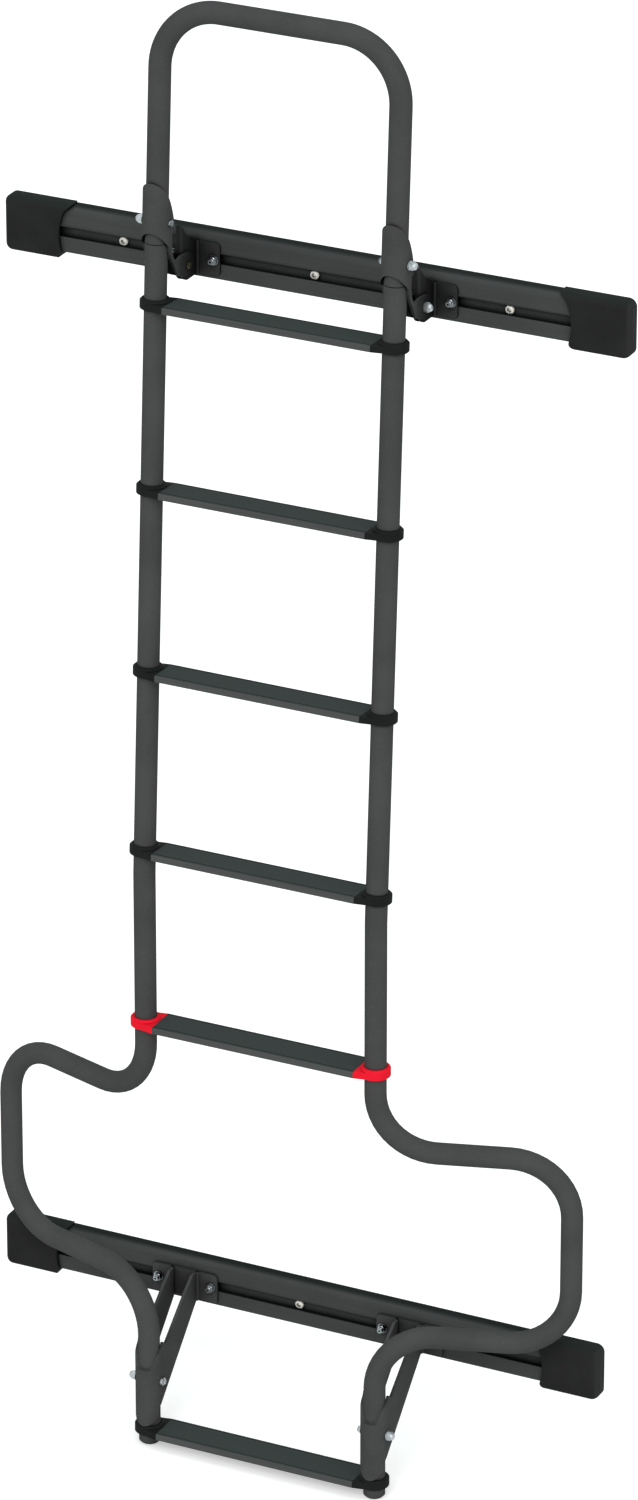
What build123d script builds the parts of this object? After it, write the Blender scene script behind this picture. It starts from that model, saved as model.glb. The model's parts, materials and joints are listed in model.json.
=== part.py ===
from build123d import *
import math
import os

# Rear door ladder for a van, in millimetres: X to the right, Y towards the door, Z up.
# The origin is the middle of the upper bar's flat back, where it lies on the door.

# Tubes of the hoop and the two rails
tube_diameter = 30.0
tube_wall = 2.0
rail_spacing = 342.4
rail_lean = 3.33  # degrees towards the door, above the kink
bend_radius = 83.5
hoop_bend_radius = 83.0
kink_bend_radius = 160.0
hoop_top_z = 369.1
hoop_joint_z = 50.6
kink_drop = 39.7  # below the fourth step
jog_drop = 121.1  # below the fifth step, to the jog's upper run
jog_height = 278.0
jog_reach = 252.0  # sideways, from rail axis to outer run
jog_setback = 81.0  # towards the door, from rail axis to outer run
foot_drop = 18.3  # below the lowest step, to the rail's cut end
spigot_length = 70.0
spigot_lead = 1.5
bore_run_out = 6.0  # end bores run on past what they hold
slip_clearance = 0.2

# Steps and their collars
step_count = 6
first_step_z = -28.2
step_rise = 253.6
last_step_drop = 222.0  # lowest step below the jog's lower run
step_depth = 50.0
step_height = 9.0
step_skin = 2.2
step_nose_radius = 1.6
step_rib = 2.2
step_groove_width = 1.4
step_groove_depth = 0.5
step_groove_inset = 4.2
collar_wall = 5.4
collar_rise = 3.8  # ring above the step's top
collar_drop = 1.0  # ring below the step's underside
collar_top_chamfer = 2.6
collar_foot_chamfer = 0.8
collar_seam = 1.0  # from the ring's side to the step's end
prong_length = 24.0
prong_relief = 1.5  # prong's underside over the skirt's foot

# Bars
bar_height = 65.5
bar_depth = 18.0
bar_end_x = 443.5  # half the length of a bare bar
bar_wall = 2.0
bar_standoff = 112.0  # rail axis to bar front, level with the slot
lower_bar_drop = 48.3  # lower bar's middle below the jog's lower run
bar_ledge = 11.4  # flat top, from the back to the crown
crown_rise = 11.0  # height of the rounded upper front
slot_z = -5.6  # middle of the bolt slot from the bar's middle
slot_mouth = 12.2
slot_lip_radius = 6.0  # rolled edge over the slot
slot_lip_depth = 4.0
slot_chamber_height = 17.0
slot_chamber_depth = 4.5
bar_hole_spacing = 279.0
bar_hole_diameter = 6.6

# End caps
cap_length = 79.5  # outer end to the waist of the inner edge
cap_top_overhang = 2.0
cap_bottom_overhang = 10.0
cap_front_overhang = 6.0
cap_end_wall = 6.0
cap_round = 9.0
cap_end_round = 11.0
cap_foot_round = 10.0  # inner bottom corner
cap_foot_reach = 3.0  # foot runs in past the waist
cap_shoulder_reach = 8.0  # shoulder runs in past the waist
cap_shoulder_drop = 9.5  # below the cap's top
cap_lip_reach = 18.0  # top corner runs in past the waist

# Clamps on the hoop's legs; edge points are (behind the leg's axis, above the leg's bolt)
clamp_sheet = 4.0
clamp_bolt_z = 78.8  # bolt through the hoop's leg
clamp_side_run = 14.0  # straight side, behind the leg's axis
clamp_front_top = 55.5
clamp_arch_top = -12.0  # arched front edge, where the leg's joint shows
clamp_arch_foot = -36.0
clamp_back_upper = (-2.0, 32.5)
clamp_back_bolt = (10.5, 4.0)
clamp_back_waist = (6.6, -20.0)
clamp_back_lower = (8.0, -38.0)
clamp_foot_upper = (6.3, -51.0)
clamp_foot_lower = (14.5, -62.0)
tail_end_radius = 16.5
tail_foot_angle = 250.0  # where the lower edge leaves the tail's round end
tail_flat = 2.0  # flat part of the tail in front of its round end

# Brackets on the upper bar; reaches are in front of the bar
bracket_sheet = 3.0
fin_width = 10.0
fin_reach = 49.0
fin_top_z = 53.0
fin_top_run = 1.5
fin_shoulder_reach = 27.5
fin_shoulder_z = 29.0
fin_bottom_z = -27.5
fin_corner = 20.0
fin_flange_top_z = 17.8
fin_flange_half = 37.5
fin_bolt_offset = 29.0
pivot_reach = 39.5
pivot_bolt_z = -3.0
flange_bend = 3.0
flange_corner = 6.0

# Lower brackets: a sleeve round the rail, with two arms to the lower bar
sleeve_sheet = 4.0
sleeve_bottom_gap = 0.6  # over the lowest collar
sleeve_bolt_rise = 69.8  # over the lowest step
sleeve_front_rise = 21.2  # front edge's top over the bolt
sleeve_side_rise = 36.0  # side edge's top over the front edge's top
sleeve_side_start = 4.0  # level top of the side, behind the rail's axis
sleeve_side_end = 7.0
sleeve_notch_run = 7.0
sleeve_notch_depth = 5.0
sleeve_cheek_y = -8.0  # the front edge's curve, half way up
sleeve_heel_y = -7.0  # where the lower edge leaves the front
sleeve_heel_low = 14.0
sleeve_heel_high = 26.0
arm_knee_run = 0.72  # share of the way back to the flange where the upper edge bends
arm_knee_rise = 0.75
arm_top_run = 17.0  # level top of the arm, in front of the bar
arm_flange_half = 49.5
arm_flange_rise = 13.7  # over the lower bar's middle
arm_flange_drop = 24.0
arm_foot_drop = 6.0  # lower edge of the arm below its flange
arm_bolt_offset = 40.0

# Bolts that the holes are drilled for
bolt_diameter = 8.0
bolt_hole_clearance = 0.3
flange_bolt_diameter = 6.0

# Foot plugs
plug_flange = 8.5
plug_chamfer = 3.0
plug_stem_length = 22.0

cut_margin = 5.0  # cuts run on past what they cut

# Worked out from the sizes above
tube_radius = tube_diameter / 2
bore_radius = tube_radius - tube_wall
sheet_fit_radius = tube_radius + slip_clearance
rail_x = rail_spacing / 2
kink_z = first_step_z - 3 * step_rise - kink_drop
jog_top_z = first_step_z - (step_count - 2) * step_rise - jog_drop
jog_bottom_z = jog_top_z - jog_height
last_step_z = jog_bottom_z - last_step_drop
rail_foot_z = last_step_z - foot_drop
lower_bar_z = jog_bottom_z - lower_bar_drop
lean_slope = math.tan(math.radians(rail_lean))
bar_front_y = -bar_depth
kink_y = bar_front_y - bar_standoff - lean_slope * (slot_z - kink_z)
lower_bar_back_y = kink_y + bar_standoff + bar_depth
collar_radius = sheet_fit_radius + collar_wall
collar_reach = collar_radius + collar_seam
bolt_hole_radius = bolt_diameter / 2 + bolt_hole_clearance
flange_hole_radius = flange_bolt_diameter / 2 + bolt_hole_clearance
pivot_bolt_y = bar_front_y - pivot_reach
sleeve_bolt_z = last_step_z + sleeve_bolt_rise

# Sections and side outlines are drawn in (Y, Z) and run along X
side_plane = Plane(origin=(0, 0, 0), x_dir=(0, 1, 0), z_dir=(1, 0, 0))


def rail_axis_y(z):
    return kink_y + lean_slope * max(0.0, z - kink_z)


def along_x(section, half_length):
    return extrude(side_plane * section, amount=half_length, both=True)


def cross_hole(x, y, z, radius, half_length):
    return Pos(x, y, z) * Rot(Y=90) * Cylinder(radius, 2 * half_length)


def front_hole(x, y, z, radius, half_length):
    return Pos(x, y, z) * Rot(X=90) * Cylinder(radius, 2 * half_length)


def mirrored(shape):
    return mirror(shape, about=Plane.YZ)


def write(shape, node):
    export_step(shape, f"parts/{node}.step")


def write_pair(shape, name):
    write(shape, f"right_{name}")
    write(mirrored(shape), f"left_{name}")


# A bent tube, closed inside between its end bores
def tube_along(points, radii):
    path = FilletPolyline(*points, radius=radii)
    return sweep(Plane(path @ 0, z_dir=path % 0) * Circle(tube_radius), path=path)


# Grab hoop, with swaged ends that slide into the rails
def grab_hoop():
    corner_y = rail_axis_y(hoop_top_z)
    joint_y = rail_axis_y(hoop_joint_z)
    points = [
        (rail_x, joint_y, hoop_joint_z),
        (rail_x, corner_y, hoop_top_z),
        (-rail_x, corner_y, hoop_top_z),
        (-rail_x, joint_y, hoop_joint_z),
    ]
    hoop = tube_along(points, [hoop_bend_radius] * 2)
    leg_hole_y = rail_axis_y(clamp_bolt_z)
    for side in (-1, 1):
        foot = Pos(side * rail_x, joint_y, hoop_joint_z) * Rot(X=-rail_lean)
        spigot = Cylinder(
            bore_radius - slip_clearance, spigot_length, align=(Align.CENTER, Align.CENTER, Align.MAX)
        )
        hoop += foot * chamfer(spigot.edges().sort_by(Axis.Z)[0], spigot_lead)
        hoop -= cross_hole(side * rail_x, leg_hole_y, clamp_bolt_z, bolt_hole_radius, tube_diameter)
    return hoop


# Right rail: plumb below the kink, with one jog out round the number plate space and back
def right_rail():
    outer_x = rail_x + jog_reach
    outer_y = kink_y + jog_setback
    points = [
        (rail_x, rail_axis_y(hoop_joint_z), hoop_joint_z),
        (rail_x, kink_y, kink_z),
        (rail_x, kink_y, jog_top_z),
        (outer_x, outer_y, jog_top_z),
        (outer_x, outer_y, jog_bottom_z),
        (rail_x, kink_y, jog_bottom_z),
        (rail_x, kink_y, rail_foot_z),
    ]
    rail = tube_along(points, [kink_bend_radius] + [bend_radius] * 4)
    top = Pos(points[0]) * Rot(X=-rail_lean)
    rail -= top * Cylinder(bore_radius, 2 * (spigot_length + bore_run_out))
    rail -= Pos(points[-1]) * Cylinder(bore_radius, 2 * (plug_stem_length + bore_run_out))
    return rail - cross_hole(rail_x, kink_y, sleeve_bolt_z, bolt_hole_radius, tube_diameter)


def right_foot_plug():
    flange = Cylinder(tube_radius, plug_flange, align=(Align.CENTER, Align.CENTER, Align.MAX))
    flange = chamfer(flange.edges().sort_by(Axis.Z)[0], plug_chamfer)
    stem = Cylinder(
        bore_radius - slip_clearance, plug_stem_length, align=(Align.CENTER, Align.CENTER, Align.MIN)
    )
    return Pos(rail_x, kink_y, rail_foot_z) * (flange + stem)


# One bar: a hollow extrusion with a half oval front, a bolt slot and a flat back
def bar_section():
    top = bar_height / 2
    bottom = -top
    slot_top = slot_z + slot_mouth / 2
    slot_bottom = slot_z - slot_mouth / 2
    lip_top = slot_top + slot_lip_radius
    lip_back = bar_front_y + slot_lip_radius
    crown_z = top - crown_rise
    crown_depth = bar_depth - bar_ledge
    crown_radius = (crown_rise**2 + crown_depth**2) / (2 * crown_depth)
    outline = (
        Polyline((-bar_ledge, top), (0, top), (0, bottom), (bar_front_y, bottom), (bar_front_y, slot_bottom))
        + Polyline((bar_front_y, slot_bottom), (lip_back, slot_bottom), (lip_back, slot_top))
        + RadiusArc((lip_back, slot_top), (bar_front_y, lip_top), slot_lip_radius)
        + Line((bar_front_y, lip_top), (bar_front_y, crown_z))
        + RadiusArc((bar_front_y, crown_z), (-bar_ledge, top), crown_radius)
    )
    chamber_front = bar_front_y + slot_lip_depth
    chamber_back = chamber_front + slot_chamber_depth
    chamber_top = slot_z + slot_chamber_height / 2
    chamber_bottom = slot_z - slot_chamber_height / 2
    hollow_front = bar_front_y + bar_wall

    def box(front, back, low, high):
        middle = ((front + back) / 2, (low + high) / 2)
        return Pos(*middle) * Rectangle(back - front, high - low)

    section = make_face(outline)
    section -= box(hollow_front, -bar_wall, chamber_top + bar_wall, crown_z)
    section -= box(-bar_ledge, -bar_wall, crown_z, top - bar_wall)
    section -= box(lip_back - cut_margin, chamber_back, slot_bottom, slot_top)
    section -= box(chamber_front, chamber_back, chamber_bottom, chamber_top)
    return section - box(hollow_front, -bar_wall, bottom + bar_wall, chamber_bottom - bar_wall)


def bar():
    body = along_x(bar_section(), bar_end_x)
    for x in (-bar_hole_spacing, 0, bar_hole_spacing):
        body -= front_hole(x, 0, slot_z, bar_hole_diameter / 2, 2 * bar_depth)
    return body


# End cap: a moulded hood over the bar's end, open at the back, with a waisted inner edge
def right_end_cap():
    top = bar_height / 2 + cap_top_overhang
    bottom = -bar_height / 2 - cap_bottom_overhang
    front = bar_front_y - cap_front_overhang
    end_x = bar_end_x + cap_end_wall
    waist_x = end_x - cap_length
    inner_x = waist_x - cap_lip_reach
    foot_x = waist_x - cap_foot_reach
    foot_z = bottom + cap_foot_round
    shoulder = (waist_x - cap_shoulder_reach, top - cap_shoulder_drop)
    hood = Pos((inner_x + end_x) / 2, front / 2, (top + bottom) / 2) * Box(
        end_x - inner_x, -front, top - bottom
    )
    hood = fillet(hood.edges().filter_by(Axis.X).group_by(Axis.Y)[0], cap_round)
    end_face = hood.faces().sort_by(Axis.X)[-1]
    hood = fillet(end_face.edges().sort_by(Axis.Y)[:-1], cap_end_round)
    outside_x = inner_x - cut_margin
    mouth = make_face(
        Polyline(
            (shoulder[0], shoulder[1]),
            (inner_x, top),
            (inner_x, top + cut_margin),
            (outside_x, top + cut_margin),
            (outside_x, bottom - cut_margin),
            (foot_x + cap_foot_round, bottom - cut_margin),
            (foot_x + cap_foot_round, bottom),
        )
        + RadiusArc((foot_x + cap_foot_round, bottom), (foot_x, foot_z), cap_foot_round)
        + ThreePointArc((foot_x, foot_z), (waist_x, (foot_z + shoulder[1]) / 2), shoulder)
    )
    face_plane = Plane(origin=(0, 0, 0), x_dir=(1, 0, 0), z_dir=(0, -1, 0))
    hood -= extrude(face_plane * mouth, amount=2 * bar_depth, both=True)
    room_inner = inner_x - cut_margin
    room_end = bar_end_x + slip_clearance
    room = Pos((room_inner + room_end) / 2, 0, 0) * Box(
        room_end - room_inner, 2 * (bar_depth + slip_clearance), bar_height + 2 * slip_clearance
    )
    return hood - room


# Step: an extruded channel with a grooved top, a skirt at each edge and a middle rib
def step():
    half = step_depth / 2
    slab = Pos(0, -step_height / 2) * Rectangle(step_depth, step_height)
    slab = fillet(slab.vertices().group_by(Axis.Y)[-1], step_nose_radius)
    bay = (step_depth - 2 * step_skin - step_rib) / 2
    bay_height = step_height - step_skin
    for side in (-1, 1):
        slab -= Pos(side * (step_rib + bay) / 2, -step_skin - bay_height / 2) * Rectangle(bay, bay_height)
        groove_y = side * (half - step_groove_inset)
        slab -= Pos(groove_y, 0) * Rectangle(step_groove_width, 2 * step_groove_depth)
    return along_x(slab, rail_x - collar_reach - slip_clearance)


# Collar: a moulded ring on the rail whose square shoulder closes the step's end
def right_collar():
    height = collar_rise + step_height + collar_drop
    ring = Pos(Z=collar_rise) * Cylinder(
        collar_radius, height, align=(Align.CENTER, Align.CENTER, Align.MAX)
    )
    ring = chamfer(ring.edges().filter_by(GeomType.CIRCLE).sort_by(Axis.Z)[-1], collar_top_chamfer)
    ring = chamfer(ring.edges().filter_by(GeomType.CIRCLE).sort_by(Axis.Z)[0], collar_foot_chamfer)
    half = step_depth / 2
    shoulder = make_face(
        Polyline(
            (0, -collar_radius),
            (-collar_reach, -half),
            (-collar_reach, half),
            (0, collar_radius),
            (0, -collar_radius),
        )
    )
    block = extrude(shoulder, amount=-step_height)
    long_edges = [e for e in block.edges().group_by(Axis.Z)[-1] if abs(e.center().Y) > half / 2]
    collar = ring + fillet(long_edges, step_nose_radius)
    bay = (step_depth - 2 * step_skin - step_rib) / 2
    prong = Box(
        prong_length,
        bay - 2 * slip_clearance,
        step_height - step_skin - prong_relief,
        align=(Align.MAX, Align.CENTER, Align.MAX),
    )
    for side in (-1, 1):
        prong_y = side * (step_rib + bay) / 2
        collar += Pos(-collar_reach, prong_y, -step_skin - slip_clearance) * prong
    return Pos(rail_x, 0, 0) * (collar - Cylinder(sheet_fit_radius, 4 * height))


def step_place(index):
    z = first_step_z - step_rise * index
    if index == step_count - 1:
        z = last_step_z
    lean = rail_lean if z > kink_z else 0.0
    return Pos(0, rail_axis_y(z), z) * Rot(X=-lean)


# Clamp: sheet folded round the hoop's leg, whose tails close on the bracket's fin
def right_clamp():
    outer = sheet_fit_radius + clamp_sheet
    tail_inner = fin_width / 2 + slip_clearance
    # the pivot bolt's place, seen from the leg's bolt and square to the leg
    lean = math.radians(rail_lean)
    leg_y = rail_axis_y(clamp_bolt_z)
    dy = pivot_bolt_y - leg_y
    dz = pivot_bolt_z - clamp_bolt_z
    pivot_y = dy * math.cos(lean) - dz * math.sin(lean)
    pivot_z = dy * math.sin(lean) + dz * math.cos(lean)
    radius = tail_end_radius
    tail_start = pivot_y - radius - tail_flat
    tail_end = pivot_y + radius + cut_margin

    def band(half_width, tail_half):
        front = ThreePointArc((-half_width, 0), (0, -half_width), (half_width, 0))
        sides = Polyline(
            (half_width, 0),
            (half_width, clamp_side_run),
            (tail_half, tail_start),
            (tail_half, tail_end),
            (-tail_half, tail_end),
            (-tail_half, tail_start),
            (-half_width, clamp_side_run),
            (-half_width, 0),
        )
        return make_face(front + sides)

    plan = band(outer, tail_inner + clamp_sheet) - band(sheet_fit_radius, tail_inner)
    folded = extrude(plan, amount=clamp_front_top - pivot_z + radius, both=True)
    front_y = -outer - cut_margin
    tail_top = (pivot_y, pivot_z + radius)
    angle = math.radians(tail_foot_angle)
    tail_foot = (pivot_y + radius * math.cos(angle), pivot_z + radius * math.sin(angle))
    outline = (
        Polyline((0, clamp_arch_foot), (front_y, clamp_arch_foot), (front_y, clamp_front_top))
        + Line((front_y, clamp_front_top), (-outer, clamp_front_top))
        + ThreePointArc((-outer, clamp_front_top), clamp_back_upper, clamp_back_bolt)
        + Spline(clamp_back_bolt, clamp_back_waist, clamp_back_lower)
        + Spline(clamp_back_lower, tail_top, tangents=[(0.1, -1), (1, 0)])
        + ThreePointArc(tail_top, (pivot_y + radius, pivot_z), tail_foot)
        + Spline(
            tail_foot,
            clamp_foot_lower,
            clamp_foot_upper,
            (0, clamp_arch_foot),
            tangents=[(math.sin(angle), -math.cos(angle)), (-0.3, 1)],
        )
    )
    arch = Pos(0, clamp_arch_foot) * Ellipse(outer + slip_clearance, clamp_arch_top - clamp_arch_foot)
    arch_cut = extrude(Plane.XZ * arch, amount=outer + cut_margin)
    clamp = folded & along_x(make_face(outline), outer + cut_margin)
    clamp -= arch_cut
    clamp -= cross_hole(0, 0, 0, bolt_hole_radius, outer + cut_margin)
    clamp -= cross_hole(0, pivot_y, pivot_z, bolt_hole_radius, outer + cut_margin)
    return Pos(rail_x, leg_y, clamp_bolt_z) * Rot(X=-rail_lean) * clamp


# Plan of a sheet folded round a nose, with a flange bent out at each end
def hat_plan(outer, sheet, nose_y, back, flange_half):
    inner = outer - sheet
    front = back - sheet
    bend_outer = flange_bend + sheet
    half = (
        Line((outer, nose_y), (outer, front - flange_bend))
        + RadiusArc((outer, front - flange_bend), (outer + flange_bend, front), -flange_bend)
        + Polyline(
            (outer + flange_bend, front),
            (flange_half, front),
            (flange_half, back),
            (inner + bend_outer, back),
        )
        + RadiusArc((inner + bend_outer, back), (inner, back - bend_outer), bend_outer)
        + Line((inner, back - bend_outer), (inner, nose_y))
    )
    nose = ThreePointArc((-outer, nose_y), (0, nose_y - outer), (outer, nose_y))
    lining = ThreePointArc((-inner, nose_y), (0, nose_y - inner), (inner, nose_y))
    return make_face(half + mirrored(half) + nose + lining)


def round_flange_corners(bracket, flange_half, sheet):
    corners = [
        e
        for e in bracket.edges().filter_by(Axis.Y)
        if math.isclose(abs(e.center().X), flange_half, abs_tol=0.1) and e.length < 1.1 * sheet
    ]
    return fillet(corners, flange_corner)


# Bracket: one sheet folded to a fin, with a flange each side on the upper bar
def right_bracket():
    fin_front = bar_front_y - fin_reach
    fin_half = fin_width / 2
    flange_front = bar_front_y - bracket_sheet
    plan = hat_plan(fin_half, bracket_sheet, fin_front + fin_half, bar_front_y, fin_flange_half)
    folded = Pos(Z=fin_bottom_z) * extrude(plan, amount=fin_top_z - fin_bottom_z)
    outside_y = fin_front - cut_margin
    outline = (
        Polyline(
            (fin_front, fin_bottom_z + fin_corner),
            (outside_y, fin_bottom_z + fin_corner),
            (outside_y, fin_top_z),
            (fin_front + fin_top_run, fin_top_z),
            (bar_front_y - fin_shoulder_reach, fin_shoulder_z),
            (flange_front, fin_flange_top_z),
            (cut_margin, fin_flange_top_z),
            (cut_margin, fin_bottom_z),
            (fin_front + fin_corner, fin_bottom_z),
        )
        + RadiusArc(
            (fin_front + fin_corner, fin_bottom_z), (fin_front, fin_bottom_z + fin_corner), fin_corner
        )
    )
    bracket = folded & along_x(make_face(outline), fin_flange_half + cut_margin)
    bracket = round_flange_corners(bracket, fin_flange_half, bracket_sheet)
    bracket -= cross_hole(0, pivot_bolt_y, pivot_bolt_z, bolt_hole_radius, fin_width)
    for side in (-1, 1):
        bracket -= front_hole(side * fin_bolt_offset, bar_front_y, slot_z, flange_hole_radius, bar_depth)
    return Pos(rail_x, 0, 0) * bracket


# Lower bracket: a half sleeve on the rail, whose sides run up and back to the lower bar
def right_lower_bracket():
    outer = sheet_fit_radius + sleeve_sheet
    back = bar_standoff
    bend_front = back - sleeve_sheet - flange_bend
    low = last_step_z + collar_rise + sleeve_bottom_gap
    front_top = sleeve_bolt_z + sleeve_front_rise
    side_top = front_top + sleeve_side_rise
    flange_top = lower_bar_z + arm_flange_rise
    flange_bottom = lower_bar_z - arm_flange_drop
    plan = hat_plan(outer, sleeve_sheet, 0, back, arm_flange_half)
    folded = Pos(Z=low) * extrude(plan, amount=flange_top - low)
    notch_y = sleeve_side_end + sleeve_notch_run
    notch_z = side_top - sleeve_notch_depth
    arm_top_y = back - arm_top_run
    knee_y = notch_y + arm_knee_run * (arm_top_y - notch_y)
    knee_z = notch_z + arm_knee_rise * (flange_top - notch_z)
    # side outline in (Y from the rail axis, Z)
    outline = (
        Polyline((sleeve_heel_y, low + sleeve_heel_low), (-outer, low), (-outer, front_top))
        + Spline(
            (-outer, front_top),
            (sleeve_cheek_y, (front_top + side_top) / 2),
            (sleeve_side_start, side_top),
            tangents=[(1, 0), (0.1, 1)],
        )
        + Polyline(
            (sleeve_side_start, side_top),
            (sleeve_side_end, side_top),
            (notch_y, notch_z),
            (knee_y, knee_z),
            (arm_top_y, flange_top),
            (back + cut_margin, flange_top),
            (back + cut_margin, flange_bottom),
            (bend_front, flange_bottom - arm_foot_drop),
            (sleeve_heel_y, low + sleeve_heel_high),
            (sleeve_heel_y, low + sleeve_heel_low),
        )
    )
    bracket = folded & along_x(make_face(outline), arm_flange_half + cut_margin)
    bracket = round_flange_corners(bracket, arm_flange_half, sleeve_sheet)
    bracket -= cross_hole(0, 0, sleeve_bolt_z, bolt_hole_radius, outer + cut_margin)
    for side in (-1, 1):
        bracket -= front_hole(
            side * arm_bolt_offset, back, lower_bar_z + slot_z, flange_hole_radius, bar_depth
        )
    return Pos(rail_x, kink_y, 0) * bracket


def main():
    os.makedirs("parts", exist_ok=True)
    write(grab_hoop(), "grab_hoop")
    write_pair(right_rail(), "rail")
    plug = right_foot_plug()
    write(Compound([plug, mirrored(plug)]), "foot_plugs")
    upper_bar = bar()
    cap = right_end_cap()
    lower_place = Pos(0, lower_bar_back_y, lower_bar_z)
    write(upper_bar, "upper_bar")
    write(lower_place * upper_bar, "lower_bar")
    write_pair(cap, "upper_end_cap")
    write_pair(lower_place * cap, "lower_end_cap")
    plain_step = step()
    collar = right_collar()
    collars = Compound([collar, mirrored(collar)])
    for index in range(step_count):
        place = step_place(index)
        write(place * plain_step, f"step_{index + 1}")
        write(place * collars, f"step_{index + 1}_collars")
    write_pair(right_clamp(), "upper_clamp")
    write_pair(right_bracket(), "upper_bracket")
    write_pair(right_lower_bracket(), "lower_bracket")


main()
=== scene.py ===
import bpy
import bmesh
import json
import math
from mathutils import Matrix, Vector


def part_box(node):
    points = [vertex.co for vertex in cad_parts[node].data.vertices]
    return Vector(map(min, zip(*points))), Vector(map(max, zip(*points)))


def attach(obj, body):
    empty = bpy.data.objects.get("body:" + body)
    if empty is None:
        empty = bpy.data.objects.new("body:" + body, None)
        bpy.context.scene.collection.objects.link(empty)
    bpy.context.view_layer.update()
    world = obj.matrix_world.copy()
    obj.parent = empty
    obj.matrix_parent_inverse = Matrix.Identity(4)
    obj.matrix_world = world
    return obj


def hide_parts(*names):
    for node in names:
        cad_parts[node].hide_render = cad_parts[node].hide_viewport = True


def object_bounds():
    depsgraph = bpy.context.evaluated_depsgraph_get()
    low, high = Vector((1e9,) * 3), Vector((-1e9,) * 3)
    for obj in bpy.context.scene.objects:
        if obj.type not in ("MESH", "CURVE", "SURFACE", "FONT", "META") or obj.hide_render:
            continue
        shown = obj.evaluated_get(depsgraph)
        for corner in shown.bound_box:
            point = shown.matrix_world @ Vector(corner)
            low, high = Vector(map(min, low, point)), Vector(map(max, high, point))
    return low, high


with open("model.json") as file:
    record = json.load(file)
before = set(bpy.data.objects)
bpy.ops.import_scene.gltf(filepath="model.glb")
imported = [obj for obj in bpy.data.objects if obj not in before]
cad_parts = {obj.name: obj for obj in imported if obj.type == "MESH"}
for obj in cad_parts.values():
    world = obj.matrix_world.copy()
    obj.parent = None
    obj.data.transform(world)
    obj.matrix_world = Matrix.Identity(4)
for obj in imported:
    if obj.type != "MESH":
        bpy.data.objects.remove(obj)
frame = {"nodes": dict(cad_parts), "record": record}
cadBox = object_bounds()
scene = bpy.context.scene
print("frame loaded:", len(frame["nodes"]), "nodes")


def linear(code):  # sRGB hex to the linear colour that the sockets take
    parts = [int(code[i:i + 2], 16) / 255 for i in (1, 3, 5)]
    return tuple(c / 12.92 if c <= 0.04045 else ((c + 0.055) / 1.055) ** 2.4 for c in parts) + (1.0,)


def mm(size):  # millimetres to the frame's metres
    return size / 1000


def node(tree, kind, inputs=None, **settings):  # an input is a value, an output to link, or a list of outputs
    made = tree.nodes.new(kind)
    for name, value in settings.items():
        setattr(made, name, value)
    for key, value in (inputs or {}).items():
        for one in value if isinstance(value, list) else [value]:
            if isinstance(one, bpy.types.NodeSocket):
                tree.links.new(one, made.inputs[key])
            else:
                made.inputs[key].default_value = one
    return made


def placed(name, data):  # a new object in the scene, at the origin
    made = bpy.data.objects.new(name, data)
    scene.collection.objects.link(made)
    return made


def settled(made, modifier, sharp):  # keeps a modifier's result as a plain mesh, smooth up to this angle
    ready = made.evaluated_get(bpy.context.evaluated_depsgraph_get())
    result = bpy.data.meshes.new_from_object(ready)
    made.modifiers.remove(modifier)
    made.data = result
    result.shade_smooth()
    result.set_sharp_from_angle(angle=math.radians(sharp))
    return result


def newFinish(name):  # an empty material and the coordinates that its patterns read
    finish = bpy.data.materials.new(name)
    finish.use_nodes = True
    finish.node_tree.nodes.clear()
    place = node(finish.node_tree, "ShaderNodeTexCoord").outputs["Object"]
    return finish, finish.node_tree, place


noiseSpan = (0.35, 0.65)  # most of a noise lies between these
wideSpan = (0.3, 0.7)  # and nearly all of it between these
shadeRaySamples = 8  # rays that look for a neighbour, for the painted occlusion shade


def laidOver(tree, pattern, span, under, over):  # one colour over another, as a pattern goes from low to high
    share = node(tree, "ShaderNodeMapRange", {"Value": pattern, "From Min": span[0], "From Max": span[1]})
    return node(tree, "ShaderNodeMix", {0: share.outputs[0], 6: under, 7: over},
                data_type="RGBA").outputs[2]  # a colour mix has its two colours at 6 and 7 and its result at 2


def paintedOcclusionShade(tree, colour, look, spared=0.0):  # painted shade: colour darkened where ambient occlusion finds neighbours, in joints and slots, which draws each piece's edge
    shut = node(tree, "ShaderNodeAmbientOcclusion", {"Distance": mm(look["shadeReach"])}, samples=shadeRaySamples)
    clear = node(tree, "ShaderNodeMapRange", {"Value": shut.outputs["AO"], "From Min": look["shadeSpan"][0],
                                              "From Max": look["shadeSpan"][1]})
    clean = node(tree, "ShaderNodeMath", {0: clear.outputs[0], 1: spared}, operation="MAXIMUM")
    return node(tree, "ShaderNodeMix", {0: clean.outputs[0], 6: linear(look["joint"]), 7: colour},
                data_type="RGBA").outputs[2]


# the joint colour of each coat is painted occlusion shade, laid where neighbours lie close
tubeCoat = {
    "deep": "#454545", "pale": "#4b4b4b", "speck": "#555555", "joint": "#141414",
    "shadeReach": 9, "shadeSpan": (0.3, 0.78),  # mm; and how open a spot is, from full painted shade to none
    "cloud": 70, "peel": 2.4, "speckSize": 1.6,  # mm; the peel is really about 1 mm and is drawn coarser to show
    "peelHeight": 0.03, "bump": 0.5, "speckSpan": (0.66, 0.74), "rough": (0.7, 0.8), "specular": 0.015,
}
sheetCoat = dict(tubeCoat, deep="#444444", pale="#4a4a4a", joint="#1c1c1c", shadeReach=30,
                 shadeSpan=(0.36, 0.94), cloud=40)
clampShadedCoat = dict(sheetCoat, shadeReach=60)  # folds that lie close together: the painted occlusion shade reaches further, so more of them is darkened
# the fin's coat is the sheet coat painted darker, as the shade it lies in
finShadedCoat = dict(clampShadedCoat, deep="#3a3a3a", pale="#404040", joint="#0e0e0e")
finShade = {"tone": "#181818", "turn": (0.85, 0.97), "behind": (-101, -28)}  # painted shade: sideways faces darken towards the bar; mm in Y
tailShade = dict(finShade, behind=(-105, -45))


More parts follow.
